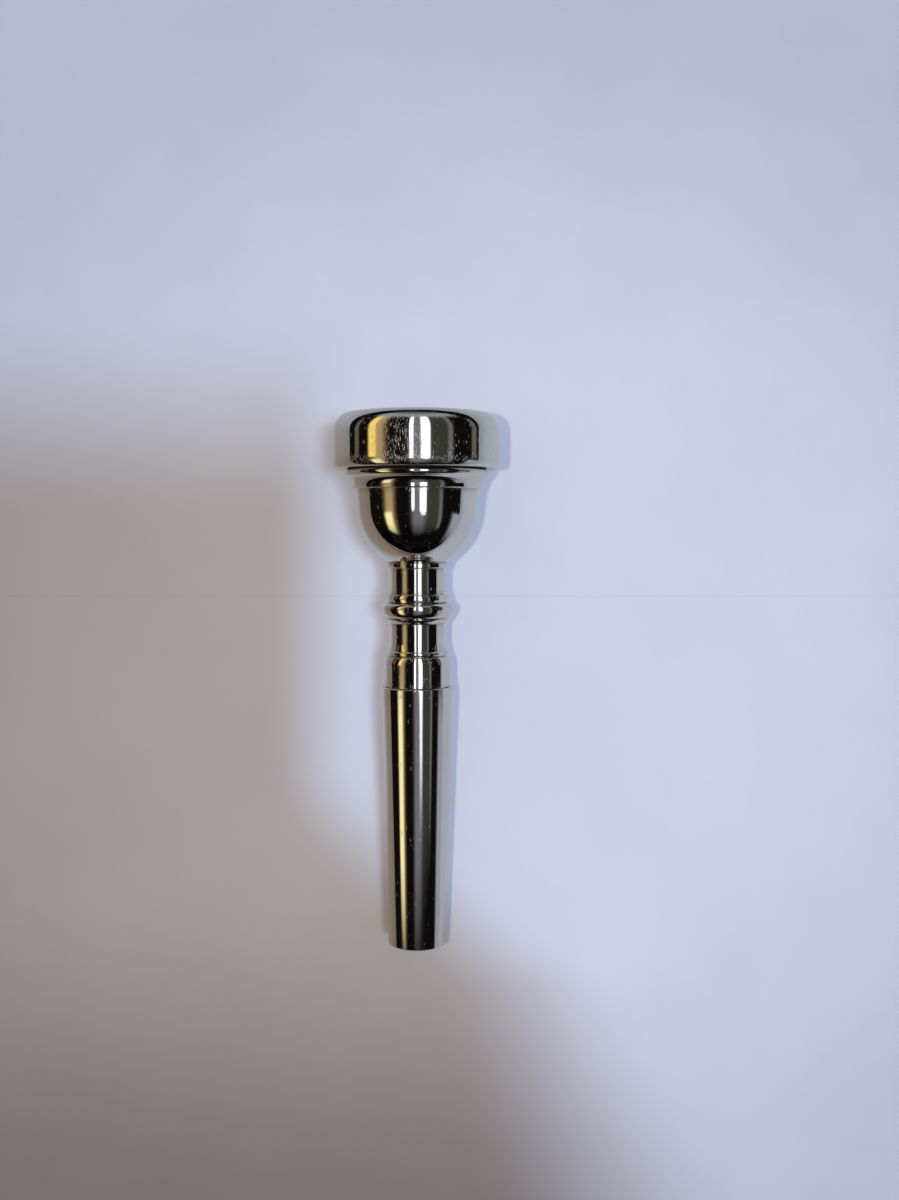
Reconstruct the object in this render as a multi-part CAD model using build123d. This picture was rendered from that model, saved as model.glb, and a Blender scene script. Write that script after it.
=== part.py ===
from build123d import *
import math
import os

# A trumpet mouthpiece in its modular form: a screw rim, a cup, a backbore and a slip-on shank sleeve,
# with a rubber ring at each screwed joint.
# Lengths are in millimetres.  +Y is the axis, from the open end of the shank (Y = 0) to the rim, and
# +Z is up.  Outlines are drawn with the radius along X and the station along Y, then turned about +Y.

# Fits and threads
THREAD_PITCH = 0.75
THREAD_DEPTH = 0.42
THREAD_ROOT_HALF = 0.29 * THREAD_PITCH
THREAD_CREST_HALF = 0.08 * THREAD_PITCH
THREAD_CLEARANCE = 0.08
THREAD_FOOT = 0.05
SEAT_GAP = 0.04
SLEEVE_CLEARANCE = 0.03
RING_CLEARANCE = 0.045
EDGE = 0.08

# Shank sleeve: outside taper 1 in 20 on diameter
SHANK_END_R = 4.78
SHANK_TAPER = 1 / 20
SLEEVE_TOP = 42.90
SLEEVE_TOP_CHAMFER = 0.15
SHANK_END_ROUND = 0.2
OUTLET_R = 4.15

# Tail of the backbore, inside the sleeve
TAIL_R = 4.40
TAIL_END = 8.20
TAIL_BORE_R = 3.88
OUTLET_STEP = 0.05

# Throat, which runs on into the cup, and the passage that opens out from it
THROAT_R = 1.83
THROAT_LOW = 62.50
PASSAGE_MID = (3.15, 35.0)

# Backbore outside, from the collar up to the bead below the cup
COLLAR_R = 5.43
COLLAR_SHOULDER = 46.60
COLLAR_TOP = 47.90
COLLAR_TOP_R = 5.08
RING_BEAD_R = 4.86
RING_BEAD_LOW = 48.10
RING_BEAD_TOP = 48.70
NECK_R = 4.44
LOWER_NECK_FLARE = 50.20
LOWER_NECK_TOP = 53.32
COVE_BEAD_TOP = 54.05
COVE_BEAD_R = 5.05
TORUS_CENTRE = (4.93, 55.83)
TORUS_R = 0.83
TORUS_SKIRT = 1.60
FLAT_BEAD_LOW = 56.84
FLAT_BEAD_TOP = 58.02
FLAT_BEAD_R = 4.95
TOP_BEAD_LOW = 62.42
TOP_BEAD_TOP = 63.22
TOP_BEAD_R = 4.95
CREASE_DEPTH = 0.14

# Threaded stem of the backbore, which screws into the foot of the cup
STEM_THREAD_R = 3.50
STEM_TIP = 68.84
STEM_THREAD_SPAN = (64.70, 67.90)
SOCKET_THREAD_SPAN = (64.60, 68.30)
STEM_RING_SECTION = 0.70

# Cup outside
CUP_FOOT_R = 4.93
BOWL_BACK_CENTRE = (-1.00, 72.28)
BOWL_BACK_R = 10.69
BOWL_BACK_END_DEG = -4.0
STEP_STATION = 75.26
STEP_LOW_R = 9.93
STEP_TOP_R = 10.44
COVE_LOW_R = 10.45
COVE_RADIUS = 1.70
LIP_CENTRE = (11.00, 77.80)
LIP_R = 0.65
FLANGE_TOP = 78.35

# Threaded neck of the cup, which screws into the rim
NECK_THREAD_R = 10.50
NECK_RELIEF_R = 10.00
NECK_TIP = 83.36
NECK_THREAD_SPAN = (79.40, 82.30)
RIM_THREAD_SPAN = (79.75, 82.70)
NECK_RING_SECTION = 0.90

# Bowl and bite
BOWL_R = 8.25
BOWL_RIM_STATION = 85.00
BOWL_DEPTH = 10.00
BOWL_FLOOR = 75.90
THROAT_SHOULDER = 73.40

# Rim outside
RIM_R = 13.60
RIM_BOTTOM = 78.50
RIM_CORNER = 0.55
RIM_CORNER_HEIGHT = 1.40
RIM_BAND_TOP = 84.30
CREST_R = 11.20
CREST = 87.50
BITE_R = 8.80
BITE = 86.95
BITE_END = 86.30
RIM_SEAL_DEPTH = 0.85


def turned(*edges):
    """Close the edges into one outline and turn it about the axis."""
    return revolve(make_face(Curve() + list(edges)), Axis.Y)


def on_circle(centre, radius, angle_deg):
    """A point of the outline, on a circle, at an angle from the radial direction."""
    angle = math.radians(angle_deg)
    return (centre[0] + radius * math.cos(angle), centre[1] + radius * math.sin(angle))


def shank_r(station):
    return SHANK_END_R + station * SHANK_TAPER / 2


def bowl_angle(station):
    """The bowl is half of an ellipse: its parameter, in degrees, at a station."""
    return -math.degrees(math.asin((BOWL_RIM_STATION - station) / BOWL_DEPTH))


def bowl_r(station):
    return BOWL_R * math.cos(math.radians(bowl_angle(station)))


def bowl_wall(high, low):
    """The bowl's wall between two stations, drawn downwards."""
    return EllipticalCenterArc(
        (0, BOWL_RIM_STATION),
        BOWL_R,
        BOWL_DEPTH,
        start_angle=bowl_angle(low),
        arc_size=bowl_angle(high) - bowl_angle(low),
    )


def thread_ridge(root_r, side, span):
    """A right-handed helical ridge whose centre line runs between two stations.

    side is 1 for a ridge that stands out from a stem and -1 for one that stands into a hole.
    Every ridge keeps step with station 0, and the two kinds lie half a turn apart, so that they mesh.
    """
    low, high = span
    path = Helix(THREAD_PITCH, high - low, root_r, direction=(0, 1, 0))
    start = path @ 0
    section_plane = Plane(start, x_dir=(start.X, 0, start.Z), z_dir=path % 0)
    section = section_plane * make_face(
        Polyline(
            (-side * THREAD_FOOT, -THREAD_ROOT_HALF),
            (side * THREAD_DEPTH, -THREAD_CREST_HALF),
            (side * THREAD_DEPTH, THREAD_CREST_HALF),
            (-side * THREAD_FOOT, THREAD_ROOT_HALF),
            close=True,
        )
    )
    ridge = sweep(section, path, is_frenet=True)
    turn = 360 * low / THREAD_PITCH + 90 * (1 - side)
    return Pos(0, low, 0) * Rot(0, turn, 0) * ridge


def seal_ring(inner_r, section, bottom):
    """A rubber ring of round section, lying on a station."""
    centre = (inner_r + section / 2, bottom + section / 2)
    return revolve(Pos(*centre) * Circle(section / 2), Axis.Y)


def shank_sleeve():
    """Tapered sleeve that plugs into the instrument, bored parallel for the backbore's tail."""
    bore_r = TAIL_R + SLEEVE_CLEARANCE
    ledge = TAIL_END - SEAT_GAP
    top_r = shank_r(SLEEVE_TOP - SLEEVE_TOP_CHAMFER)
    return turned(
        Line((OUTLET_R, 0), (SHANK_END_R - SHANK_END_ROUND, 0)),
        ThreePointArc(
            (SHANK_END_R - SHANK_END_ROUND, 0),
            on_circle((SHANK_END_R - SHANK_END_ROUND, SHANK_END_ROUND), SHANK_END_ROUND, -45),
            (shank_r(0), SHANK_END_ROUND),
        ),
        Polyline(
            (shank_r(0), SHANK_END_ROUND),
            (top_r, SLEEVE_TOP - SLEEVE_TOP_CHAMFER),
            (top_r - SLEEVE_TOP_CHAMFER, SLEEVE_TOP),
            (bore_r + EDGE, SLEEVE_TOP),
            (bore_r, SLEEVE_TOP - EDGE),
            (bore_r, ledge),
            (TAIL_BORE_R + OUTLET_STEP, ledge),
            (OUTLET_R, 0),
        ),
    )


def backbore():
    """Tail, collar, beaded neck and threaded stem, with the throat and the flared passage inside."""
    stem_core_r = STEM_THREAD_R - THREAD_DEPTH
    torus_middle = on_circle(TORUS_CENTRE, TORUS_R, 0)
    torus_top = on_circle(TORUS_CENTRE, TORUS_R, 85)
    skirt = EllipticalCenterArc(TORUS_CENTRE, TORUS_R, TORUS_SKIRT, start_angle=-72, arc_size=72)
    body = turned(
        Polyline(
            (TAIL_BORE_R, TAIL_END),
            (TAIL_R - EDGE, TAIL_END),
            (TAIL_R, TAIL_END + EDGE),
            (TAIL_R, SLEEVE_TOP + SEAT_GAP),
            (COLLAR_R - EDGE, SLEEVE_TOP + SEAT_GAP),
            (COLLAR_R, SLEEVE_TOP + SEAT_GAP + EDGE),
            (COLLAR_R, COLLAR_SHOULDER),
        ),
        ThreePointArc(
            (COLLAR_R, COLLAR_SHOULDER),
            (COLLAR_R - 0.09, (COLLAR_SHOULDER + COLLAR_TOP) / 2),
            (COLLAR_TOP_R, COLLAR_TOP),
        ),
        Polyline(
            (COLLAR_TOP_R, COLLAR_TOP),
            (RING_BEAD_R - CREASE_DEPTH, COLLAR_TOP + EDGE / 2),
            (RING_BEAD_R - CREASE_DEPTH, RING_BEAD_LOW - EDGE / 2),
            (RING_BEAD_R, RING_BEAD_LOW),
        ),
        ThreePointArc(
            (RING_BEAD_R, RING_BEAD_LOW),
            (RING_BEAD_R + EDGE, (RING_BEAD_LOW + RING_BEAD_TOP) / 2),
            (RING_BEAD_R, RING_BEAD_TOP),
        ),
        Line((RING_BEAD_R, RING_BEAD_TOP), (RING_BEAD_R - CREASE_DEPTH, RING_BEAD_TOP + EDGE)),
        TangentArc(
            (NECK_R, LOWER_NECK_FLARE),
            (RING_BEAD_R - CREASE_DEPTH, RING_BEAD_TOP + EDGE),
            tangent=(0, -1),
        ),
        Line((NECK_R, LOWER_NECK_FLARE), (NECK_R, LOWER_NECK_TOP)),
        ThreePointArc(
            (NECK_R, LOWER_NECK_TOP),
            ((NECK_R + COVE_BEAD_R) / 2 + 0.08, (LOWER_NECK_TOP + COVE_BEAD_TOP) / 2 - 0.04),
            (COVE_BEAD_R, COVE_BEAD_TOP),
        ),
        Polyline(
            (COVE_BEAD_R, COVE_BEAD_TOP),
            (COVE_BEAD_R - CREASE_DEPTH, COVE_BEAD_TOP + EDGE),
            skirt @ 0,
        ),
        skirt,
        ThreePointArc(torus_middle, on_circle(TORUS_CENTRE, TORUS_R, 40), torus_top),
        Polyline(
            torus_top,
            (FLAT_BEAD_R - 2 * CREASE_DEPTH, FLAT_BEAD_LOW - EDGE),
            (FLAT_BEAD_R - CREASE_DEPTH / 2, FLAT_BEAD_LOW),
        ),
        ThreePointArc(
            (FLAT_BEAD_R - CREASE_DEPTH / 2, FLAT_BEAD_LOW),
            (FLAT_BEAD_R, (FLAT_BEAD_LOW + FLAT_BEAD_TOP) / 2),
            (FLAT_BEAD_R - CREASE_DEPTH, FLAT_BEAD_TOP),
        ),
        Polyline(
            (FLAT_BEAD_R - CREASE_DEPTH, FLAT_BEAD_TOP),
            (NECK_R, FLAT_BEAD_TOP + EDGE / 2),
            (NECK_R, TOP_BEAD_LOW),
            (TOP_BEAD_R - EDGE, TOP_BEAD_LOW),
            (TOP_BEAD_R, TOP_BEAD_LOW + EDGE),
            (TOP_BEAD_R, TOP_BEAD_TOP - EDGE),
            (TOP_BEAD_R - EDGE, TOP_BEAD_TOP),
            (stem_core_r, TOP_BEAD_TOP),
            (stem_core_r, STEM_TIP - 2 * EDGE),
            (stem_core_r - 2 * EDGE, STEM_TIP),
            (THROAT_R, STEM_TIP),
            (THROAT_R, THROAT_LOW),
        ),
        ThreePointArc((THROAT_R, THROAT_LOW), PASSAGE_MID, (TAIL_BORE_R, TAIL_END)),
    )
    return body + thread_ridge(stem_core_r, 1, STEM_THREAD_SPAN)


def cup():
    """Bowl-backed cup with a threaded socket in its foot and a threaded neck inside the rim."""
    foot = TOP_BEAD_TOP + SEAT_GAP
    ring_seat = foot + STEM_RING_SECTION + 2 * RING_CLEARANCE
    ring_seat_r = STEM_THREAD_R + 2 * RING_CLEARANCE + STEM_RING_SECTION
    socket_r = STEM_THREAD_R + THREAD_CLEARANCE
    socket_end = STEM_TIP + SEAT_GAP
    neck_core_r = NECK_THREAD_R - THREAD_DEPTH
    bowl_back_start_deg = -math.degrees(math.acos((CUP_FOOT_R - BOWL_BACK_CENTRE[0]) / BOWL_BACK_R))
    bowl_back_mid_deg = (bowl_back_start_deg + BOWL_BACK_END_DEG) / 2
    back_start = on_circle(BOWL_BACK_CENTRE, BOWL_BACK_R, bowl_back_start_deg)
    back_end = on_circle(BOWL_BACK_CENTRE, BOWL_BACK_R, BOWL_BACK_END_DEG)
    lip_to_cove = COVE_LOW_R + COVE_RADIUS - LIP_CENTRE[0]
    lip_low_deg = -math.degrees(math.acos(lip_to_cove / (COVE_RADIUS + LIP_R)))
    lip_top_deg = math.degrees(math.asin((FLANGE_TOP - LIP_CENTRE[1]) / LIP_R))
    lip_low = on_circle(LIP_CENTRE, LIP_R, lip_low_deg)
    lip_top = on_circle(LIP_CENTRE, LIP_R, lip_top_deg)
    cove_centre = on_circle(LIP_CENTRE, COVE_RADIUS + LIP_R, lip_low_deg)
    cove_low = (COVE_LOW_R, cove_centre[1])
    bowl_wall_part = bowl_wall(NECK_TIP, BOWL_FLOOR)
    body = turned(
        Polyline((ring_seat_r, foot), (CUP_FOOT_R - EDGE, foot), (CUP_FOOT_R, foot + EDGE), back_start),
        ThreePointArc(
            back_start,
            on_circle(BOWL_BACK_CENTRE, BOWL_BACK_R, bowl_back_mid_deg),
            back_end,
        ),
        Polyline(
            back_end,
            (STEP_LOW_R, STEP_STATION),
            (STEP_TOP_R - EDGE, STEP_STATION),
            (STEP_TOP_R, STEP_STATION + EDGE),
            cove_low,
        ),
        ThreePointArc(cove_low, on_circle(cove_centre, COVE_RADIUS, 180 + lip_low_deg / 2), lip_low),
        ThreePointArc(lip_low, on_circle(LIP_CENTRE, LIP_R, 0), lip_top),
        Polyline(
            lip_top,
            (NECK_RELIEF_R, FLANGE_TOP),
            (NECK_RELIEF_R, NECK_THREAD_SPAN[0] - THREAD_PITCH),
            (neck_core_r, NECK_THREAD_SPAN[0] - THREAD_PITCH + EDGE),
            (neck_core_r, NECK_TIP - 2 * EDGE),
            (neck_core_r - 2 * EDGE, NECK_TIP),
            bowl_wall_part @ 1,
        ),
        bowl_wall_part,
        TangentArc((THROAT_R, THROAT_SHOULDER), bowl_wall_part @ 0, tangent=(0, 1)),
        Polyline(
            (THROAT_R, THROAT_SHOULDER),
            (THROAT_R, socket_end),
            (socket_r, socket_end),
            (socket_r, ring_seat),
            (ring_seat_r, ring_seat),
            (ring_seat_r, foot),
        ),
    )
    neck_thread = thread_ridge(neck_core_r, 1, NECK_THREAD_SPAN)
    socket_thread = thread_ridge(socket_r, -1, SOCKET_THREAD_SPAN)
    return body + neck_thread + socket_thread


def rim():
    """Rounded rim with the bite and the top of the bowl, threaded inside for the cup's neck."""
    seal_seat_r = NECK_THREAD_R + 2 * RING_CLEARANCE + NECK_RING_SECTION
    seal_seat = RIM_BOTTOM + RIM_SEAL_DEPTH
    hole_r = NECK_THREAD_R + THREAD_CLEARANCE
    bowl_end = NECK_TIP + SEAT_GAP
    bowl_mid = (BOWL_RIM_STATION + bowl_end) / 2
    band_low = RIM_BOTTOM + RIM_CORNER_HEIGHT
    corner_centre = (RIM_R - RIM_CORNER, band_low)
    body = turned(
        Line((seal_seat_r, RIM_BOTTOM), (RIM_R - RIM_CORNER, RIM_BOTTOM)),
        EllipticalCenterArc(corner_centre, RIM_CORNER, RIM_CORNER_HEIGHT, start_angle=-90, arc_size=90),
        Line((RIM_R, band_low), (RIM_R, RIM_BAND_TOP)),
        EllipticalCenterArc((CREST_R, RIM_BAND_TOP), RIM_R - CREST_R, CREST - RIM_BAND_TOP, arc_size=90),
        TangentArc((CREST_R, CREST), (BITE_R, BITE), tangent=(-1, 0)),
        TangentArc((BOWL_R, BITE_END), (BITE_R, BITE), tangent=(0, 1)),
        Line((BOWL_R, BITE_END), (BOWL_R, BOWL_RIM_STATION)),
        ThreePointArc(
            (BOWL_R, BOWL_RIM_STATION),
            (bowl_r(bowl_mid), bowl_mid),
            (bowl_r(bowl_end), bowl_end),
        ),
        Polyline(
            (bowl_r(bowl_end), bowl_end),
            (hole_r, bowl_end),
            (hole_r, seal_seat),
            (seal_seat_r, seal_seat),
            (seal_seat_r, RIM_BOTTOM),
        ),
    )
    return body + thread_ridge(hole_r, -1, RIM_THREAD_SPAN)


parts = {
    "shank_sleeve": shank_sleeve(),
    "backbore": backbore(),
    "backbore_seal_ring": seal_ring(
        STEM_THREAD_R + RING_CLEARANCE,
        STEM_RING_SECTION,
        TOP_BEAD_TOP + SEAT_GAP + RING_CLEARANCE,
    ),
    "cup": cup(),
    "rim_seal_ring": seal_ring(
        NECK_THREAD_R + RING_CLEARANCE,
        NECK_RING_SECTION,
        FLANGE_TOP + RING_CLEARANCE,
    ),
    "rim": rim(),
}

os.makedirs("parts", exist_ok=True)
for name, shape in parts.items():
    export_step(shape, f"parts/{name}.step")
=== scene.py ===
import math

import bpy
import numpy as np
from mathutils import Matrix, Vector


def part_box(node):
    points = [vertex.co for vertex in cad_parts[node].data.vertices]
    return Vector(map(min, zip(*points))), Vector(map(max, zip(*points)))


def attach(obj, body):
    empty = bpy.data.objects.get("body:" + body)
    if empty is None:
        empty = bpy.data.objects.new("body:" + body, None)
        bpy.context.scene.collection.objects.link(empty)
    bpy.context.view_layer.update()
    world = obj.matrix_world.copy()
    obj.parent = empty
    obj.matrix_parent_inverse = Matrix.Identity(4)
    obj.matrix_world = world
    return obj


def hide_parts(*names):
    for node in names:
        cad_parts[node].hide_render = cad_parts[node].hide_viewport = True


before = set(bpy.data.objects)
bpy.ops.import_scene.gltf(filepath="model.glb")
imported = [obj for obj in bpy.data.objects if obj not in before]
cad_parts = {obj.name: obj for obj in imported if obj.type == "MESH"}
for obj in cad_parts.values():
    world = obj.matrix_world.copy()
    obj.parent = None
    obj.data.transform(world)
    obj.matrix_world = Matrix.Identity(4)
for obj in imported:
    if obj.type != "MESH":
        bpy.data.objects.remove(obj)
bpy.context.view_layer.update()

# A silver-plated trumpet mouthpiece in its modular form, lying on paper.
# Outlines and sizes are in millimetres, as (radius, station): the axis is +Y, with station 0 at the
# open end of the shank.  Blender's own lengths are in metres, so MM turns one into the other.

MM = 0.001
rim_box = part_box("rim")

# ---------------------------------------------------------------- sizes

# Screw threads: a ridge of trapezoid section, with its run-out at each end
PITCH = 0.75
THREAD_DEPTH = 0.42
ROOT_HALF = 0.29 * PITCH
CREST_HALF = 0.08 * PITCH
RUN_OUT = 0.5 * PITCH

# Small flats on turned corners, the step of a crease, and the gap where two faces seat
EDGE = 0.08
TIP_CHAMFER = 0.16
CREASE_DEPTH = 0.14
SEAT_GAP = 0.04

# Shank sleeve and the backbore's tail inside it
SHANK_END_R = 4.78
SHANK_END_ROUND = 0.2
SHANK_TAPER = 1 / 20
OUTLET_R = 4.15
SLEEVE_TOP = 42.90
SLEEVE_TOP_CHAMFER = 0.15
SLEEVE_BORE_R = 4.43
SLEEVE_LEDGE = 8.16
SLEEVE_LEDGE_R = 3.93
TAIL_R = 4.40
TAIL_END = 8.20
TAIL_BORE_R = 3.88
SEAT = SLEEVE_TOP + SEAT_GAP

# Backbore outside and throat
COLLAR_R = 5.43
COLLAR_SHOULDER = 46.60
COLLAR_TOP = 47.90
COLLAR_TOP_R = 5.08
RING_BEAD_R = 4.86
RING_BEAD = (48.10, 48.70)
NECK_R = 4.44
LOWER_NECK = (50.20, 53.32)
COVE_BEAD_TOP = 54.05
COVE_BEAD_R = 5.05
FLAT_BEAD = (56.84, 58.02)
BEAD_R = 4.95
STEM_CORE_R = 3.08
STEM_THREAD = (64.70, 67.90)
STEM_TIP = 68.84
THROAT_R = 1.83
THROAT_LOW = 62.50
PASSAGE_MID = (3.15, 35.0)
TORUS_CENTRE = (4.93, 55.83)
TORUS_R = 0.83
TORUS_SKIRT = 1.60
TOP_BEAD = (62.42, 63.22)

# Cup
FOOT = TOP_BEAD[1] + SEAT_GAP
FOOT_R = 4.93
SOCKET_R = 3.58
SOCKET_TOP = STEM_TIP + SEAT_GAP
SOCKET_RELIEF_R = 4.29
SOCKET_RELIEF_TOP = 64.05
SOCKET_THREAD = (64.60, 68.30)
BACK_CENTRE = (-1.00, 72.28)
BACK_R = 10.69
BACK_END_DEG = -4
STEP = 75.26
STEP_LOW_R = 9.93
STEP_TOP_R = 10.44
NECK_CORE_R = 10.08
NECK_RELIEF_R = 10.00
NECK_RELIEF_TOP = 78.65
NECK_THREAD = (79.40, 82.30)
NECK_TIP = 83.36
FLANGE_TOP = 78.35
COVE_LOW_R = 10.45
COVE_R = 1.70
LIP_CENTRE = (11.00, 77.80)
LIP_R = 0.65
BOWL_R = 8.25
BOWL_DEPTH = 10.00
BOWL_RIM = 85.00
BOWL_FLOOR = 75.90
THROAT_SHOULDER = 73.40

# Rim
RIM_R = rim_box[1].x / MM
RIM_BOTTOM = rim_box[0].y / MM
CREST = rim_box[1].y / MM
CREST_R = 11.20
BITE_R = 8.80
BITE = 86.95
BITE_END = 86.30
BAND_TOP = 84.30
RIM_CORNER = (0.55, 1.40)
RIM_HOLE_R = 10.58
RIM_THREAD = (79.75, 82.70)
SEAL_SEAT = 79.35
SEAL_SEAT_R = 11.49

# Seal rings: (inner radius, section)
STEM_RING = (3.545, 0.70)
NECK_RING = (10.545, 0.90)

# Mesh fineness
EDGE_ROUND = 0.07
ROUND_STEP_DEG = 15
ARC_STEP_DEG = 3.5
LONGEST_STEP = 1.0
THREAD_STEP = PITCH / 14
CORNER_DEG = 12
WEAR_REACH = 0.22


# ---------------------------------------------------------------- outlines

def on_circle(centre, radius, angle_deg):
    """A point of an outline on a circle, at an angle from the radial direction."""
    angle = math.radians(angle_deg)
    return (centre[0] + radius * math.cos(angle), centre[1] + radius * math.sin(angle))


def on_ellipse(centre, across, along, angle_deg):
    """A point of an outline on an ellipse, by its parameter angle."""
    angle = math.radians(angle_deg)
    return (centre[0] + across * math.cos(angle), centre[1] + along * math.sin(angle))


def bowl_r(station):
    """The bowl is half of an ellipse: its radius at a station."""
    return BOWL_R * math.sqrt(1 - ((BOWL_RIM - station) / BOWL_DEPTH) ** 2)


def shank_r(station):
    return SHANK_END_R + station * SHANK_TAPER / 2


class Outline:
    """The half section of a turned piece, walked round the solid from corner to corner."""

    def __init__(self, radius, station):
        self.points = [np.array((radius, station), float)]
        self.corner = [True]

    def to(self, *points):
        """Straight runs to each point."""
        for point in points:
            self.points.append(np.array(point, float))
            self.corner.append(True)
        return self

    def through(self, points):
        """A smooth curve along points, which ends in a corner."""
        self.to(*points)
        for k in range(len(self.points) - len(points), len(self.points) - 1):
            self.corner[k] = False
        return self

    def arc(self, middle, end):
        """A circular arc from the last point, through the middle one, to the end."""
        a, b, c = self.points[-1], np.array(middle, float), np.array(end, float)
        system = 2 * np.array([b - a, c - a])
        centre = np.linalg.solve(system, [b @ b - a @ a, c @ c - a @ a])
        first, half, last = (math.atan2(*(p - centre)[::-1]) for p in (a, b, c))
        turn = 2 * math.pi
        sweep = (last - first) % turn
        if (half - first) % turn > sweep:
            sweep -= turn
        count = max(3, math.ceil(abs(math.degrees(sweep)) / ARC_STEP_DEG))
        radius = np.linalg.norm(a - centre)
        angles = [first + sweep * k / count for k in range(1, count + 1)]
        return self.through([centre + radius * np.array((math.cos(t), math.sin(t))) for t in angles])

    def bend(self, start_way, end):
        """A circular arc from the last point to the end that leaves it along start_way."""
        a, c = self.points[-1], np.array(end, float)
        way = np.array(start_way, float) / np.linalg.norm(start_way)
        side = np.array((-way[1], way[0]))
        chord = c - a
        radius = chord @ chord / (2 * (chord @ side))
        centre = a + radius * side
        half_chord = (a + c) / 2 - centre
        middle = centre + half_chord / np.linalg.norm(half_chord) * abs(radius)
        if (middle - a) @ way < 0:
            middle = 2 * centre - middle
        return self.arc(middle, end)

    def settle(self, end_way, end):
        """A circular arc from the last point that arrives at the end along end_way."""
        chord = np.array(end, float) - self.points[-1]
        way = np.array(end_way, float) / np.linalg.norm(end_way)
        return self.bend(2 * (chord @ way) / (chord @ chord) * chord - way, end)

    def smooth(self):
        """The last point is no corner: the curve runs on through it."""
        self.corner[-1] = False
        return self

    def meet(self):
        """The last point is the first one again, so it is dropped."""
        self.points.pop()
        self.corner.pop()
        return self

    def rounded(self):
        """The outline's points with every sharp corner rounded off a little."""
        result = []
        total = len(self.points)
        for k, point in enumerate(self.points):
            before, after = self.points[k - 1], self.points[(k + 1) % total]
            run_in, run_out = np.linalg.norm(point - before), np.linalg.norm(after - point)
            way_in, way_out = (point - before) / run_in, (after - point) / run_out
            turn = math.atan2(way_in[0] * way_out[1] - way_in[1] * way_out[0], way_in @ way_out)
            if not self.corner[k] or abs(turn) < math.radians(CORNER_DEG):
                result.append(point)
                continue
            cut = min(EDGE_ROUND, 0.4 * run_in, 0.4 * run_out)
            count = max(3, math.ceil(abs(math.degrees(turn)) / ROUND_STEP_DEG))
            side = np.array((-way_in[1], way_in[0])) * math.copysign(1, turn)
            radius = cut / math.tan(abs(turn) / 2)
            centre = point - way_in * cut + side * radius
            for step in range(count + 1):
                angle = turn * step / count
                arm = -side * radius
                cos, sin = math.cos(angle), math.sin(angle)
                turned_arm = (arm[0] * cos - arm[1] * sin, arm[0] * sin + arm[1] * cos)
                result.append(centre + np.array(turned_arm))
        return result

    def sampled(self, threads):
        """Rounded points, with long runs divided, and threaded runs divided finely."""
        points = self.rounded()
        result = []
        for k, start in enumerate(points):
            end = points[(k + 1) % len(points)]
            step = THREAD_STEP if any(on_thread(start, end, thread) for thread in threads) else LONGEST_STEP
            count = max(1, math.ceil(np.linalg.norm(end - start) / step))
            result += [start + (end - start) * part / count for part in range(count)]
        return np.array(result)


def on_thread(start, end, thread):
    core_r = thread[0]
    return abs(start[0] - core_r) < 1e-6 and abs(end[0] - core_r) < 1e-6


def ridge_height(angle, station, side, span):
    """How far a thread's ridge stands from its core, for arrays of angle and station.

    Both kinds are right-handed and keep step with station 0.  A ridge inside a hole lies half a turn
    from one on a stem, so that the two mesh.
    """
    phase = angle / (2 * math.pi) + (0.5 if side < 0 else 0)
    centre = (np.round(station / PITCH - phase) + phase) * PITCH
    flank = (ROOT_HALF - np.abs(station - centre)) / (ROOT_HALF - CREST_HALF)
    fade_in = np.clip((centre - span[0]) / RUN_OUT, 0, 1)
    fade_out = np.clip((span[1] - centre) / RUN_OUT, 0, 1)
    return THREAD_DEPTH * np.clip(flank, 0, 1) * fade_in * fade_out


# ---------------------------------------------------------------- meshes

def placed(name, data):
    """A new object in the scene, made of this data."""
    made = bpy.data.objects.new(name, data)
    bpy.context.scene.collection.objects.link(made)
    return made


def edge_turns(profile):
    """For each point of a closed profile, how much it turns within a short reach: + is an outer edge."""
    run_in = profile - np.roll(profile, 1, axis=0)
    run_out = np.roll(profile, -1, axis=0) - profile
    cross = run_in[:, 0] * run_out[:, 1] - run_in[:, 1] * run_out[:, 0]
    turn = np.arctan2(cross, (run_in * run_out).sum(axis=1))
    length = np.linalg.norm(run_out, axis=1)
    along = np.concatenate([[0], np.cumsum(length)[:-1]])
    gap = np.abs(along[:, None] - along[None, :])
    gap = np.minimum(gap, length.sum() - gap)
    return (np.exp(-((gap / WEAR_REACH) ** 2)) * turn[None, :]).sum(axis=1)


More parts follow.
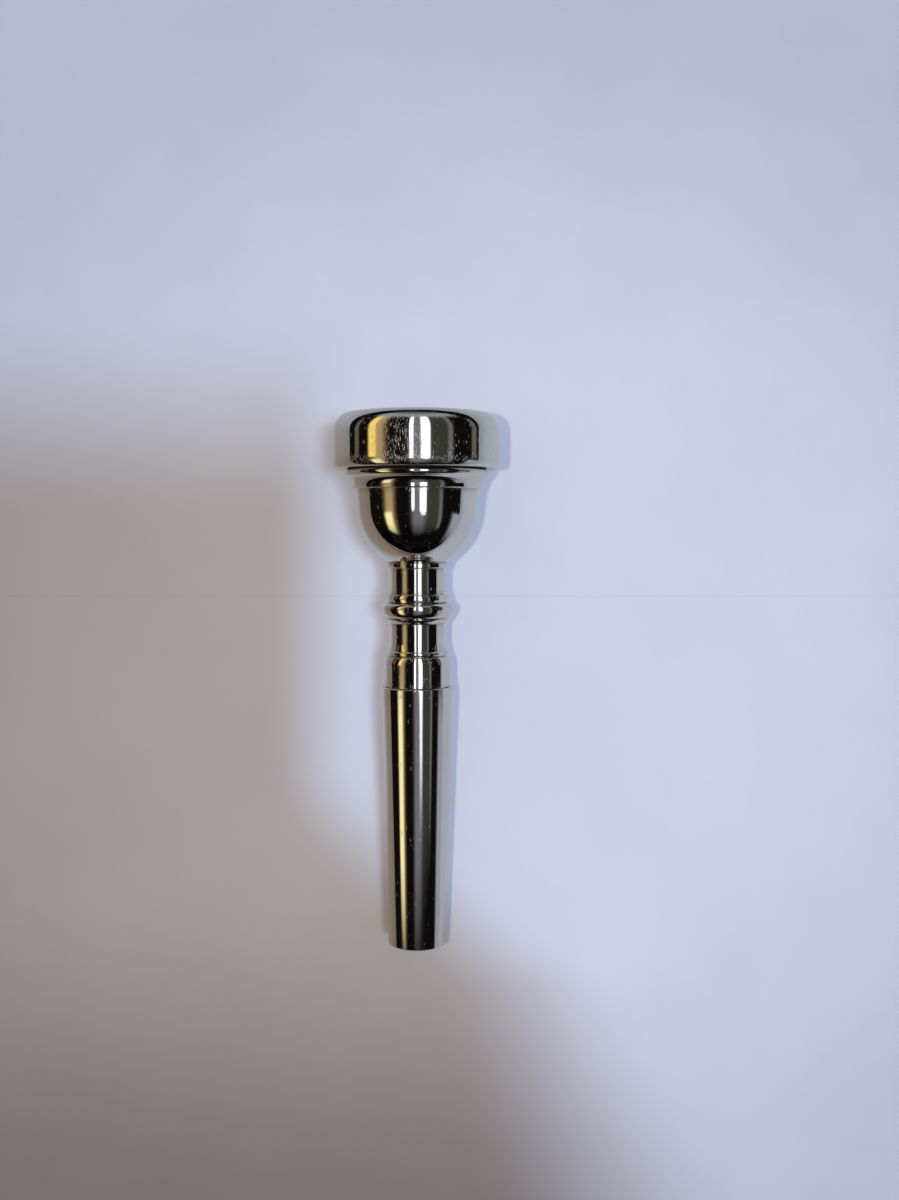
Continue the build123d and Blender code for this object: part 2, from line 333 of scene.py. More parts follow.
def turned(name, outline, facets, threads=()):
    """Turn an outline about the axis into a closed mesh of four-sided faces.

    threads are (core radius, side, span): side is 1 where the ridge stands out and -1 where it stands in.
    """
    profile = outline.sampled(threads)
    rings = len(profile)
    angle = np.arange(facets) * 2 * math.pi / facets
    radius = np.repeat(profile[:, :1], facets, axis=1)
    station = np.repeat(profile[:, 1:], facets, axis=1)
    for core_r, side, span in threads:
        near = (profile[:, 1] > span[0] - PITCH) & (profile[:, 1] < span[1] + PITCH)
        rows = near & (np.abs(profile[:, 0] - core_r) < 1e-6)
        radius[rows] += side * ridge_height(angle[None, :], station[rows], side, span)
    points = np.stack([radius * np.sin(angle), station, radius * np.cos(angle)], axis=2) * MM

    ring = np.arange(rings)[:, None]
    step = np.arange(facets)[None, :]
    next_ring, next_step = (ring + 1) % rings, (step + 1) % facets
    corners = [ring * facets + step, ring * facets + next_step]
    corners += [next_ring * facets + next_step, next_ring * facets + step]
    faces = np.stack(corners, axis=2).reshape(-1, 4)

    along = np.roll(points, -1, axis=0) - np.roll(points, 1, axis=0)
    around = np.roll(points, -1, axis=1) - np.roll(points, 1, axis=1)
    normals = np.cross(around, along)
    normals /= np.linalg.norm(normals, axis=2, keepdims=True)
    next_point = np.roll(profile, -1, axis=0)
    area = np.sum(profile[:, 0] * next_point[:, 1] - next_point[:, 0] * profile[:, 1]) / 2
    if area > 0:
        outward = 1
    else:
        outward = -1
        faces = faces[:, ::-1]
    normals *= outward

    mesh = bpy.data.meshes.new(name)
    mesh.from_pydata(points.reshape(-1, 3).tolist(), [], faces.tolist())
    mesh.shade_smooth()
    turns = np.repeat(outward * edge_turns(profile) / math.radians(60), facets)
    for attribute, values in (("wear", turns), ("grime", -turns)):
        layer = mesh.attributes.new(attribute, "FLOAT", "POINT")
        layer.data.foreach_set("value", np.clip(values, 0, 1).astype(np.float32))
    mesh.normals_split_custom_set_from_vertices(normals.reshape(-1, 3).tolist())
    return placed(name, mesh)


# ---------------------------------------------------------------- pieces

def shank_sleeve():
    """Tapered sleeve, bored parallel, with a ledge and the small outlet at its open end."""
    top_r = shank_r(SLEEVE_TOP)
    round_centre = (SHANK_END_R - SHANK_END_ROUND, SHANK_END_ROUND)
    outline = Outline(OUTLET_R, 0).to((round_centre[0], 0))
    outline.arc(on_circle(round_centre, SHANK_END_ROUND, -45), (shank_r(SHANK_END_ROUND), SHANK_END_ROUND))
    outline.to((top_r, SLEEVE_TOP - SLEEVE_TOP_CHAMFER), (top_r - SLEEVE_TOP_CHAMFER, SLEEVE_TOP))
    outline.to((SLEEVE_BORE_R + EDGE, SLEEVE_TOP), (SLEEVE_BORE_R, SLEEVE_TOP - EDGE))
    outline.to((SLEEVE_BORE_R, SLEEVE_LEDGE), (SLEEVE_LEDGE_R, SLEEVE_LEDGE))
    return turned("shank_sleeve_plated", outline, 192)


def backbore():
    """Tail, collar, beads and necks, and the threaded stem, with the passage and throat inside."""
    outline = Outline(TAIL_BORE_R, TAIL_END).to((TAIL_R - EDGE, TAIL_END), (TAIL_R, TAIL_END + EDGE))
    outline.to((TAIL_R, SEAT), (COLLAR_R - EDGE, SEAT), (COLLAR_R, SEAT + EDGE), (COLLAR_R, COLLAR_SHOULDER))
    outline.arc((5.34, 47.25), (COLLAR_TOP_R, COLLAR_TOP))

    crease_r = RING_BEAD_R - CREASE_DEPTH
    outline.to((crease_r, 47.94), (crease_r, 48.06), (RING_BEAD_R, RING_BEAD[0]))
    outline.arc((4.94, 48.40), (RING_BEAD_R, RING_BEAD[1])).to((crease_r, RING_BEAD[1] + EDGE))
    outline.settle((0, 1), (NECK_R, LOWER_NECK[0])).to((NECK_R, LOWER_NECK[1]))
    outline.arc(((NECK_R + COVE_BEAD_R) / 2 + 0.08, 53.645), (COVE_BEAD_R, COVE_BEAD_TOP))
    outline.to((COVE_BEAD_R - CREASE_DEPTH, COVE_BEAD_TOP + EDGE))

    skirt = [on_ellipse(TORUS_CENTRE, TORUS_R, TORUS_SKIRT, angle) for angle in range(-72, 1, 4)]
    outline.to(skirt[0]).through(skirt[1:]).smooth()
    outline.arc(on_circle(TORUS_CENTRE, TORUS_R, 40), on_circle(TORUS_CENTRE, TORUS_R, 85))

    outline.to((4.67, FLAT_BEAD[0] - EDGE), (4.88, FLAT_BEAD[0]))
    outline.arc((BEAD_R, 57.43), (BEAD_R - CREASE_DEPTH, FLAT_BEAD[1])).to((NECK_R, 58.06))
    outline.to((NECK_R, TOP_BEAD[0]), (BEAD_R - EDGE, TOP_BEAD[0]), (BEAD_R, TOP_BEAD[0] + EDGE))
    outline.to((BEAD_R, TOP_BEAD[1] - EDGE), (BEAD_R - EDGE, TOP_BEAD[1]), (STEM_CORE_R, TOP_BEAD[1]))
    outline.to((STEM_CORE_R, STEM_TIP - TIP_CHAMFER), (STEM_CORE_R - TIP_CHAMFER, STEM_TIP))
    outline.to((THROAT_R, STEM_TIP), (THROAT_R, THROAT_LOW)).arc(PASSAGE_MID, (TAIL_BORE_R, TAIL_END)).meet()
    return turned("backbore_plated", outline, 192, [(STEM_CORE_R, 1, STEM_THREAD)])


def cup():
    """Round-backed cup, its flange, the threaded socket in its foot and the threaded neck above."""
    back_start = -math.degrees(math.acos((FOOT_R - BACK_CENTRE[0]) / BACK_R))
    back_middle = (back_start + BACK_END_DEG) / 2
    lip_low = -math.degrees(math.acos((COVE_LOW_R + COVE_R - LIP_CENTRE[0]) / (COVE_R + LIP_R)))
    lip_top = math.degrees(math.asin((FLANGE_TOP - LIP_CENTRE[1]) / LIP_R))
    cove_centre = on_circle(LIP_CENTRE, COVE_R + LIP_R, lip_low)
    cove_end = on_circle(LIP_CENTRE, LIP_R, lip_low)

    outline = Outline(SOCKET_RELIEF_R, FOOT).to((FOOT_R - EDGE, FOOT), (FOOT_R, FOOT + EDGE))
    outline.to(on_circle(BACK_CENTRE, BACK_R, back_start))
    outline.arc(on_circle(BACK_CENTRE, BACK_R, back_middle), on_circle(BACK_CENTRE, BACK_R, BACK_END_DEG))
    outline.to((STEP_LOW_R, STEP), (STEP_TOP_R - EDGE, STEP), (STEP_TOP_R, STEP + EDGE))
    outline.to((COVE_LOW_R, cove_centre[1]))
    outline.arc(on_circle(cove_centre, COVE_R, 180 + lip_low / 2), cove_end).smooth()
    outline.arc(on_circle(LIP_CENTRE, LIP_R, 0), on_circle(LIP_CENTRE, LIP_R, lip_top))
    outline.to((NECK_RELIEF_R, FLANGE_TOP), (NECK_RELIEF_R, NECK_RELIEF_TOP))
    outline.to((NECK_CORE_R, NECK_RELIEF_TOP + EDGE), (NECK_CORE_R, NECK_TIP - TIP_CHAMFER))
    outline.to((NECK_CORE_R - TIP_CHAMFER, NECK_TIP), (bowl_r(NECK_TIP), NECK_TIP))

    high, low = (-math.degrees(math.asin((BOWL_RIM - end) / BOWL_DEPTH)) for end in (NECK_TIP, BOWL_FLOOR))
    steps = 28
    angles = [high + (low - high) * k / steps for k in range(1, steps + 1)]
    outline.through([on_ellipse((0, BOWL_RIM), BOWL_R, BOWL_DEPTH, angle) for angle in angles]).smooth()
    outline.settle((0, -1), (THROAT_R, THROAT_SHOULDER)).smooth()
    outline.to((THROAT_R, SOCKET_TOP), (SOCKET_R, SOCKET_TOP))
    outline.to((SOCKET_R, SOCKET_RELIEF_TOP), (SOCKET_RELIEF_R, SOCKET_RELIEF_TOP))
    threads = [(NECK_CORE_R, 1, NECK_THREAD), (SOCKET_R, -1, SOCKET_THREAD)]
    return turned("cup_plated", outline, 240, threads)


def rim():
    """Rounded rim: band, crest, bite and the top of the bowl, threaded inside for the cup's neck."""
    corner = (RIM_R - RIM_CORNER[0], RIM_BOTTOM + RIM_CORNER[1])
    crest = (CREST_R, BAND_TOP)
    crest_size = (RIM_R - CREST_R, CREST - BAND_TOP)
    outline = Outline(SEAL_SEAT_R, RIM_BOTTOM).to((corner[0], RIM_BOTTOM)).smooth()
    outline.through([on_ellipse(corner, *RIM_CORNER, angle) for angle in range(-84, 1, 6)]).smooth()
    outline.to((RIM_R, BAND_TOP)).smooth()
    outline.through([on_ellipse(crest, *crest_size, angle) for angle in range(3, 91, 3)])
    outline.smooth().bend((-1, 0), (BITE_R, BITE)).settle((0, -1), (BOWL_R, BITE_END)).to((BOWL_R, BOWL_RIM))
    bowl_end = NECK_TIP + SEAT_GAP
    bowl_mid = (BOWL_RIM + bowl_end) / 2
    outline.arc((bowl_r(bowl_mid), bowl_mid), (bowl_r(bowl_end), bowl_end))
    outline.to((RIM_HOLE_R, bowl_end), (RIM_HOLE_R, SEAL_SEAT), (SEAL_SEAT_R, SEAL_SEAT))
    return turned("rim_plated", outline, 288, [(RIM_HOLE_R, -1, RIM_THREAD)])


def seal_ring(name, cad_node, size):
    """A rubber ring of round section, in the middle of its CAD ring."""
    inner_r, section = size
    low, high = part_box(cad_node)
    middle = (low.y + high.y) / 2 / MM
    centre = (inner_r + section / 2, middle)
    steps = 32
    outline = Outline(*on_circle(centre, section / 2, 0))
    outline.to(*[on_circle(centre, section / 2, 360 * k / steps) for k in range(1, steps)])
    outline.corner = [False] * steps
    return turned(name, outline, 160)


# ---------------------------------------------------------------- materials

def node(tree, kind, inputs=None, **settings):
    """Add a node. inputs maps an input's name or number to a value, or to another node's output."""
    made = tree.nodes.new(kind)
    for key, value in settings.items():
        setattr(made, key, value)
    for key, value in (inputs or {}).items():
        if isinstance(value, bpy.types.NodeSocket):
            tree.links.new(value, made.inputs[key])
        else:
            made.inputs[key].default_value = value
    return made


def sums(tree, operation, *values, clamp=False):
    """The output of a Math node on values or sockets."""
    made = node(tree, "ShaderNodeMath", dict(enumerate(values)), operation=operation, use_clamp=clamp)
    return made.outputs[0]


def distance(tree, where, place):
    return node(tree, "ShaderNodeVectorMath", {0: where, 1: place}, operation="DISTANCE").outputs["Value"]


def spread(tree, value, low, high, to_low=0.0, to_high=1.0, smooth=True):
    """A value's range mapped onto another, held at its ends."""
    inputs = {0: value, 1: low, 2: high, 3: to_low, 4: to_high}
    kind = "SMOOTHSTEP" if smooth else "LINEAR"
    return node(tree, "ShaderNodeMapRange", inputs, interpolation_type=kind).outputs[0]


def blend_colours(tree, factor, first, second):
    inputs = {"Factor": factor, 6: first, 7: second}
    return node(tree, "ShaderNodeMix", inputs, data_type="RGBA").outputs[2]


def display(red, green, blue):
    """The linear colour that shows as these 0-255 display values."""
    def linear(value):
        value = value / 255
        return value / 12.92 if value <= 0.04045 else ((value + 0.055) / 1.055) ** 2.4
    return (linear(red), linear(green), linear(blue), 1)


def new_material(name):
    material = bpy.data.materials.new(name)
    material.use_nodes = True
    tree = material.node_tree
    tree.nodes.clear()
    shader = node(tree, "ShaderNodeBsdfPrincipled")
    output = node(tree, "ShaderNodeOutputMaterial")
    tree.links.new(shader.outputs[0], output.inputs[0])
    return material, tree, shader


def noise(tree, where, scale, detail=2.0, roughness=0.5):
    inputs = {"Vector": where, "Scale": scale, "Detail": detail, "Roughness": roughness}
    return node(tree, "ShaderNodeTexNoise", inputs).outputs["Fac"]


def dashes(tree, where, turn_deg, scale, size, share):
    """Short scratches that all run one way: stretched spots, kept in a share of their cells."""
    turn = [math.radians(angle) for angle in turn_deg]
    inputs = {"Vector": where, "Rotation": turn, "Scale": (1.0, 0.12, 1.0)}
    stretched = node(tree, "ShaderNodeMapping", inputs).outputs[0]
    return spots(tree, stretched, scale, size, share)


def spots(tree, where, scale, size, share):
    """Soft spots at random, 1 in the middle, kept in a share of their cells."""
    cells = node(tree, "ShaderNodeTexVoronoi", {"Vector": where, "Scale": scale, "Randomness": 1.0})
    chance = node(tree, "ShaderNodeSeparateColor", {0: cells.outputs["Color"]}).outputs[0]
    kept = sums(tree, "GREATER_THAN", share, chance)
    return sums(tree, "MULTIPLY", spread(tree, cells.outputs["Distance"], size * 0.4, size, 1.0, 0.0), kept)


SILVER = (0.70, 0.685, 0.655, 1)
TARNISH = (0.42, 0.37, 0.29, 1)


def silver(name, haze, marks, edge=None, knocked=None):
    """Polished silver plate.

    haze is the roughness of its clean parts, and marks is the share of places with a small scratch or
    pit. edge is a pair of stations between which knocks have left many more, and knocked is the middle
    of a scuffed patch, in millimetres.
    """
    material, tree, shader = new_material(name)
    shader.inputs["Metallic"].default_value = 1.0
    where = node(tree, "ShaderNodeTexCoord").outputs["Object"]
    wear = node(tree, "ShaderNodeAttribute", attribute_name="wear").outputs["Fac"]
    grime = node(tree, "ShaderNodeAttribute", attribute_name="grime").outputs["Fac"]
    station = node(tree, "ShaderNodeSeparateXYZ", {0: where}).outputs["Y"]

    clouds = noise(tree, where, 160, detail=4)
    fine = noise(tree, where, 900, detail=3)
    tarnish = sums(tree, "MULTIPLY", spread(tree, clouds, 0.50, 0.72), 0.10)
    in_creases = sums(tree, "MULTIPLY", grime, spread(tree, fine, 0.3, 0.7, 0.45, 0.9))
    tarnish = sums(tree, "MAXIMUM", tarnish, in_creases, clamp=True)
    tree.links.new(blend_colours(tree, tarnish, SILVER, TARNISH), shader.inputs["Base Color"])

    patches = spread(tree, noise(tree, where, 210), 0.46, 0.64, 0.15, 1.0)
    share = sums(tree, "ADD", sums(tree, "MULTIPLY", patches, marks), sums(tree, "MULTIPLY", wear, marks))
    if edge:
        middle = (edge[0] + edge[1]) / 2 * MM
        away = sums(tree, "ABSOLUTE", sums(tree, "SUBTRACT", station, middle))
        share = sums(tree, "ADD", share, spread(tree, away, 0.0, (edge[1] - edge[0]) / 2 * MM, 0.5, 0.0))
    if knocked:
        away = distance(tree, where, [value * MM for value in knocked])
        share = sums(tree, "ADD", share, spread(tree, away, 1.0 * MM, 7.5 * MM, 0.26, 0.0))
    lines = sums(tree, "MAXIMUM",
                 dashes(tree, where, (0, 0, 38), 6800, 0.32, share),
                 dashes(tree, where, (25, 0, -24), 6200, 0.30, share))
    lines = sums(tree, "MAXIMUM", lines, dashes(tree, where, (-15, 20, 75), 7200, 0.30, share))
    dots = spots(tree, where, 7000, 0.32, share)

    # Fingers leave a film that only shows as a slightly duller shine.
    film = spread(tree, noise(tree, where, 330, detail=2), 0.50, 0.75, 0.0, haze)
    roughness = sums(tree, "ADD", spread(tree, fine, 0.25, 0.8, haze * 0.8, haze * 1.3), film)
    roughness = sums(tree, "ADD", roughness, sums(tree, "MULTIPLY", tarnish, 0.22))
    damage = sums(tree, "MAXIMUM", lines, dots)
    roughness = sums(tree, "ADD", roughness, sums(tree, "MULTIPLY", damage, 0.30))
    tree.links.new(roughness, shader.inputs["Roughness"])

    # Turning marks run round the piece, so they only change along the axis.
    inputs = {"W": station, "Scale": 5200.0, "Detail": 2.0}
    turning = node(tree, "ShaderNodeTexNoise", inputs, noise_dimensions="1D").outputs["Fac"]
    height = sums(tree, "MULTIPLY", turning, 0.020)
    height = sums(tree, "SUBTRACT", height, damage)
    height = sums(tree, "ADD", height, sums(tree, "MULTIPLY", noise(tree, where, 230, detail=1), 0.22))
    bump = node(tree, "ShaderNodeBump", {"Height": height, "Strength": 1.0, "Distance": 0.016 * MM})
    tree.links.new(bump.outputs[0], shader.inputs["Normal"])
    return material


def rubber():
    """Satin black nitrile, faintly mottled, with a fine moulded grain."""
    material, tree, shader = new_material("seal_rubber_black")
    where = node(tree, "ShaderNodeTexCoord").outputs["Object"]
    clouds = noise(tree, where, 1400, detail=3)
    colour = blend_colours(tree, clouds, (0.018, 0.018, 0.019, 1), (0.045, 0.044, 0.046, 1))
    tree.links.new(colour, shader.inputs["Base Color"])
    tree.links.new(spread(tree, clouds, 0.2, 0.8, 0.42, 0.6), shader.inputs["Roughness"])
    grain = noise(tree, where, 9000, detail=2)
    bump = node(tree, "ShaderNodeBump", {"Height": grain, "Strength": 0.6, "Distance": 0.010 * MM})
    tree.links.new(bump.outputs[0], shader.inputs["Normal"])
    return material


# ---------------------------------------------------------------- stage

# The object lies on the lower corner of its rim and the end of its shank, which tilts the paper under it.
PAPER_CLEARANCE = 0.02
rest_rim = (RIM_R, RIM_BOTTOM + RIM_CORNER[1])
rest_end = (SHANK_END_R, SHANK_END_ROUND)
paper_tilt = math.atan2(rest_rim[0] - rest_end[0], rest_rim[1] - rest_end[1])
paper_up = Vector((0, math.sin(paper_tilt), math.cos(paper_tilt)))
paper_level = rest_end[1] * math.sin(paper_tilt) - rest_end[0] * math.cos(paper_tilt) - PAPER_CLEARANCE

# Paper colours: lit, in painted shade, and in deeper painted shade further down.
PAPER_LIT = (0.785, 0.798, 0.825, 1)
PAPER_SHADE = (0.50, 0.436, 0.356, 1)
PAPER_DARK = (0.305, 0.258, 0.212, 1)
# Painted tints of the paper's reflection in the silver, for its lit and its shaded parts.
LIT_MIRRORED = (0.82, 0.84, 0.78, 1)
SHADE_MIRRORED = (0.80, 0.71, 0.60, 1)
# Middle of the pool of light painted on the paper.
BRIGHTEST_PLACE = (18 * MM, 50 * MM, 0)
# Where a fold crosses the paper, shown as a thin line of painted shade.
FOLD = 58 * MM


def paper_material():
    """White paper, painted to dim away from its brightest place, with painted soft shade to the left and
    below.
    """
    material, tree, shader = new_material("paper")
    where = node(tree, "ShaderNodeTexCoord").outputs["Object"]
    across, along = node(tree, "ShaderNodeSeparateXYZ", {0: where}).outputs[:2]

    # The painted shade's edge slopes past the shank's end, more upright below it, and runs straight beside
    # the cup.
    beside = sums(tree, "SUBTRACT", 8.4 * MM, sums(tree, "MULTIPLY", along, 1.2))
    below = sums(tree, "SUBTRACT", 15.5 * MM, sums(tree, "MULTIPLY", along, 0.40))
    edge = sums(tree, "SMOOTH_MAX", sums(tree, "MINIMUM", beside, below), -18 * MM, 20 * MM)
    blur = spread(tree, along, 30 * MM, -40 * MM, 9 * MM, 24 * MM, smooth=False)
    inside = sums(tree, "DIVIDE", sums(tree, "SUBTRACT", edge, across), blur)
    away = distance(tree, where, BRIGHTEST_PLACE)
    shade = sums(tree, "MULTIPLY", spread(tree, inside, -1.0, 1.0), spread(tree, along, 110 * MM, 70 * MM))
    shade = sums(tree, "MULTIPLY", shade, spread(tree, away, 130 * MM, 210 * MM, 1.0, 0.0))
    shaded = blend_colours(tree, spread(tree, along, 12 * MM, -48 * MM), PAPER_SHADE, PAPER_DARK)
    colour = blend_colours(tree, shade, PAPER_LIT, shaded)

    # Painted pool of light: the paper's colour dims away from its brightest place.
    dim = spread(tree, away, 40 * MM, 125 * MM, 1.0, 0.78)
    pulp = spread(tree, noise(tree, where, 45, detail=5), 0.3, 0.7, 0.975, 1.015)
    dim = sums(tree, "MULTIPLY", dim, pulp)
    # Painted shade along the fold.
    from_fold = sums(tree, "ABSOLUTE", sums(tree, "SUBTRACT", along, FOLD))
    dim = sums(tree, "MULTIPLY", dim, spread(tree, from_fold, 0.0, 0.3 * MM, 0.955, 1.0))
    seen = node(tree, "ShaderNodeVectorMath", {0: colour, "Scale": dim}, operation="SCALE").outputs[0]

    # The silver sees it a little darker and warmer than the camera does: painted shade on its reflection,
    # with a lit and a shaded tint.
    painted_reflection_tint = blend_colours(tree, shade, LIT_MIRRORED, SHADE_MIRRORED)
    mirrored = node(tree, "ShaderNodeVectorMath", {0: seen, 1: painted_reflection_tint}, operation="MULTIPLY").outputs[0]
    in_silver = node(tree, "ShaderNodeLightPath").outputs["Is Glossy Ray"]
    tree.links.new(blend_colours(tree, in_silver, seen, mirrored), shader.inputs["Base Color"])
    shader.inputs["Roughness"].default_value = 0.9
    shader.inputs["Specular IOR Level"].default_value = 0.1
    return material


def rectangle(name, low, high, material):
    """A flat sheet between two corners, in millimetres."""
    corners = [(low[0], low[1]), (high[0], low[1]), (high[0], high[1]), (low[0], high[1])]
    mesh = bpy.data.meshes.new(name)
    mesh.from_pydata([(x * MM, y * MM, 0) for x, y in corners], [], [(0, 1, 2, 3)])
    mesh.materials.append(material)
    return placed(name, mesh)


def paper_sheet(name, low, high, drop, material):
    """A sheet that lies as the object rests, or this much lower."""
    sheet = rectangle(name, low, high, material)
    sheet.rotation_euler = (-paper_tilt, 0, 0)
    sheet.location = paper_up * (paper_level - drop) * MM
    return sheet


def light(name, kind, colour):
    """A light that the silver doesn't mirror."""
    data = bpy.data.lights.new(name, kind)
    data.color = colour
    made = placed(name, data)
    made.visible_glossy = False
    return made


def cool_window(angle_deg, size_deg, strength, colour):
    """Daylight from far off on the right. Its shadow is the soft one on the left."""
    made = light("cool_window", "SUN", colour)
    made.data.energy = strength
    made.data.angle = math.radians(size_deg)
    made.rotation_euler = (0, math.radians(angle_deg), 0)


def warm_lamp(place, radius, strength, colour):
    """A near lamp on the left, as strong at any distance as a sun of this strength.

    Its shadow is the narrow one on the right.
    """
    made = light("warm_lamp", "POINT", colour)
    made.data.energy = 1.0
    made.data.shadow_soft_size = radius * MM
    made.data.use_nodes = True
    tree = made.data.node_tree
    even = node(tree, "ShaderNodeLightFalloff", {"Strength": strength * 4 * math.pi}).outputs["Constant"]
    tree.links.new(even, tree.nodes["Emission"].inputs["Strength"])
    made.location = Vector(place) * MM


# What the polished silver mirrors: a dark room with lamps and cards in it, as strips that run the object's
# way. A strip's angle goes round the object's axis from straight up, with + to the right. It is full to its
# half width and fades out over its blur, all in degrees. Its colour is the one seen in the silver, on the
# 0-255 scale of a display, and more than 255 is brighter than its white: lamps stay white when blurred.
# The lean is how far a direction leans toward the rim's end. Some strips are gone at one lean and full at
# another. A later strip covers an earlier one.
ROOM_DARK = display(14, 12, 10)
EVERYWHERE = None
ROOM_STRIPS = (
    # angle, half width, blur, colour, (gone, full)
    (24, 20, 14, (55, 55, 50), EVERYWHERE),          # wall
    (4, 6, 16, (105, 105, 110), EVERYWHERE),         # ceiling
    (-53, 3, 16, (165, 140, 100), EVERYWHERE),       # warm wall round the lamp
    (-56, 4, 8, (250, 235, 170), (-6, -11)),         # warm lamp, low
    (-62, 3, 6, (245, 210, 110), (0, 3)),            # warm lamp, high
    (-6, 1.5, 2.5, (320, 320, 320), (-10, -7)),      # tube on the ceiling
    (14, 1, 7, (245, 250, 255), (-17, -12)),         # window, low
    (13, 4, 4, (340, 340, 340), (-12, -7)),          # window, high
    (48, 1, 5, (100, 100, 95), EVERYWHERE),          # door frame
    (92, 12, 12, (145, 145, 155), (-6, -11)),        # pale floor on the right
    (-88, 2, 4, (90, 85, 75), (0, 3)),               # pale edge on the left
    (86, 2, 5, (95, 90, 80), (0, 3)),                # pale edge on the right
)
ROOM_OVERHEAD = display(135, 139, 140)
ROOM_FAR_END = display(85, 90, 93)
ROOM_FAR_EDGE = display(8, 8, 7)
ROOM_SCALE = 8.0
ROOM_GAMMA = 2.2


def with_strip(tree, room, angle, lean, strip):
    """The room with one more strip in it."""
    middle, half_width, blur, shown, leans = strip
    off = sums(tree, "ABSOLUTE", sums(tree, "SUBTRACT", angle, middle))
    cover = spread(tree, off, half_width + blur, half_width)
    if leans is not EVERYWHERE:
        cover = sums(tree, "MULTIPLY", cover, spread(tree, lean, *leans))
    return blend_colours(tree, cover, room, room_colour(display(*shown)))


def room_colour(seen):
    """What the room must send to be seen as this colour in the silver.

    It is scaled down to stay under 1, and graded as the eye grades it, so that blends look even.
    """
    sent = [value / silver / ROOM_SCALE for value, silver in zip(seen[:3], SILVER)]
    return [value ** (1 / ROOM_GAMMA) for value in sent] + [1]


def studio_world():
    """Pale where the camera looks past the paper, soft on the paper, and a room in the silver."""
    world = bpy.data.worlds.new("studio")
    bpy.context.scene.world = world
    world.use_nodes = True
    tree = world.node_tree
    tree.nodes.clear()
    way = node(tree, "ShaderNodeSeparateXYZ", {0: node(tree, "ShaderNodeTexCoord").outputs["Generated"]})
    angle = sums(tree, "DEGREES", sums(tree, "ARCTAN2", way.outputs["X"], way.outputs["Z"]))
    lean = sums(tree, "DEGREES", sums(tree, "ARCSINE", way.outputs["Y"]))

    room = room_colour(ROOM_DARK)
    for strip in ROOM_STRIPS:
        room = with_strip(tree, room, angle, lean, strip)
    room = blend_colours(tree, spread(tree, lean, 38.0, 58.0), room, room_colour(ROOM_OVERHEAD))
    room = blend_colours(tree, spread(tree, lean, 62.0, 74.0), room, room_colour(ROOM_FAR_END))
    edge = sums(tree, "MULTIPLY", spread(tree, way.outputs["Z"], 0.15, 0.09), spread(tree, lean, 25.0, 45.0))
    room = blend_colours(tree, edge, room, room_colour(ROOM_FAR_EDGE))
    room = node(tree, "ShaderNodeGamma", {"Color": room, "Gamma": ROOM_GAMMA}).outputs[0]
    fade = spread(tree, lean, -20.0, -58.0, ROOM_SCALE, ROOM_SCALE * 0.012)

    mirrored = node(tree, "ShaderNodeBackground", {"Color": room, "Strength": fade}).outputs[0]
    soft = node(tree, "ShaderNodeBackground", {"Color": (0.31, 0.286, 0.376, 1)}).outputs[0]
    seen = node(tree, "ShaderNodeBackground", {"Color": display(205, 208, 222)}).outputs[0]
    path = node(tree, "ShaderNodeLightPath").outputs
    mix = node(tree, "ShaderNodeMixShader", {0: path["Is Glossy Ray"], 1: soft, 2: mirrored}).outputs[0]
    mix = node(tree, "ShaderNodeMixShader", {0: path["Is Camera Ray"], 1: mix, 2: seen}).outputs[0]
    tree.links.new(mix, node(tree, "ShaderNodeOutputWorld").inputs[0])


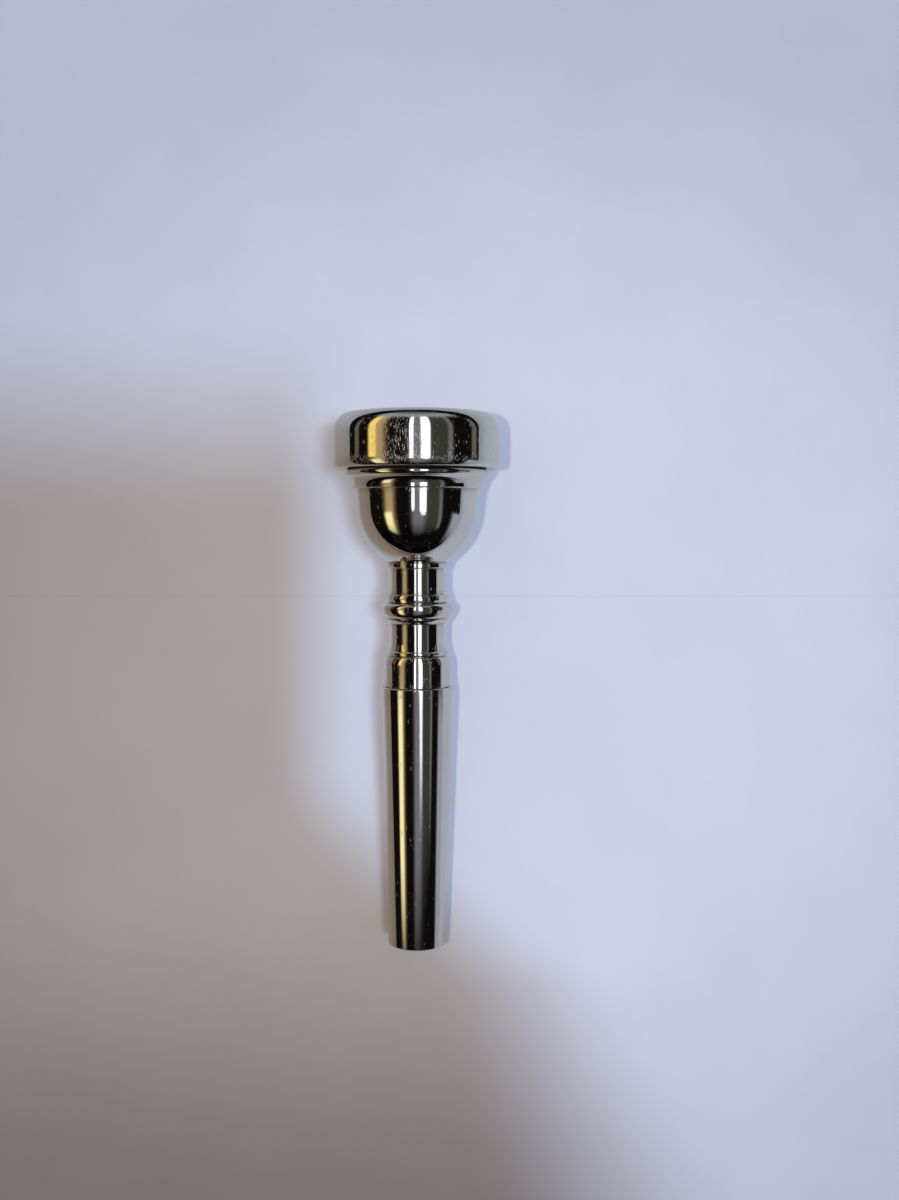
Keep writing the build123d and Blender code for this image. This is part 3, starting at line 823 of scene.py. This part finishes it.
def dark_card():
    """A black card above the shank's end, which only the silver sees. It thickens away from the cup."""
    material = bpy.data.materials.new("dark_card")
    material.use_nodes = True
    tree = material.node_tree
    tree.nodes.clear()
    where = node(tree, "ShaderNodeTexCoord").outputs["Object"]
    across, along = node(tree, "ShaderNodeSeparateXYZ", {0: where}).outputs[:2]
    past_edge = sums(tree, "SUBTRACT", along, sums(tree, "MULTIPLY", across, 0.17))
    cover = spread(tree, past_edge, -4 * MM, -40 * MM)
    clear = node(tree, "ShaderNodeBsdfTransparent").outputs[0]
    black = node(tree, "ShaderNodeBsdfDiffuse", {"Color": (0.012, 0.010, 0.009, 1)}).outputs[0]
    mix = node(tree, "ShaderNodeMixShader", {0: cover, 1: clear, 2: black}).outputs[0]
    tree.links.new(mix, node(tree, "ShaderNodeOutputMaterial").inputs[0])
    card = rectangle("dark_card", (-200, -250), (200, 40), material)
    card.location = (0, 0, 80 * MM)
    card.visible_camera = False
    card.visible_diffuse = False
    card.visible_shadow = False
    card.visible_transmission = False


def camera():
    """The photographer's place: above the object and a little nearer its cup, looking down."""
    data = bpy.data.cameras.new("camera")
    data.lens = 38.76
    data.sensor_width = 36
    data.clip_start = 0.01
    data.clip_end = 10
    made = placed("camera", data)
    made.location = Vector((5.33, 68.30, 212.06)) * MM
    made.rotation_euler = (math.radians(-3.03), 0, 0)
    bpy.context.scene.camera = made


camera()
paper = paper_material()
paper_sheet("paper_sheet", (-112, -120), (300, 260), 0, paper)
table = paper_sheet("table_top", (-3000, -3000), (3000, 3000), 0.3, paper)
table.visible_glossy = False
warm_lamp((-30, 68, 278), 4.5, 0.78, (1.0, 0.904, 0.778))
cool_window(12.5, 11.5, 1.35, (0.555, 0.727, 1.0))
studio_world()
dark_card()
bpy.context.scene.view_settings.view_transform = "Standard"

# ---------------------------------------------------------------- assembly

rim_silver = silver("silver_rim", haze=0.030, marks=0.12, edge=(78.9, 80.3), knocked=(-2.2, 80.8, 13.4))
cup_silver = silver("silver_cup", haze=0.022, marks=0.03)
backbore_silver = silver("silver_backbore", haze=0.022, marks=0.07)
shank_silver = silver("silver_shank", haze=0.025, marks=0.03)
black_rubber = rubber()

assembly = (
    (shank_sleeve(), "shank_sleeve", "sleeve", "silver_plate", shank_silver),
    (backbore(), "backbore", "backbore", "silver_plate", backbore_silver),
    (seal_ring("backbore_seal_rubber", "backbore_seal_ring", STEM_RING),
     "backbore_seal_ring", "backbore_seal", "seal_rubber", black_rubber),
    (cup(), "cup", "cup", "silver_plate", cup_silver),
    (seal_ring("rim_seal_rubber", "rim_seal_ring", NECK_RING),
     "rim_seal_ring", "rim_seal", "seal_rubber", black_rubber),
    (rim(), "rim", "rim", "silver_plate", rim_silver),
)
for piece, cad_node, body, slot, material in assembly:
    piece.data.materials.append(material)
    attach(piece, body)
    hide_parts(cad_node)
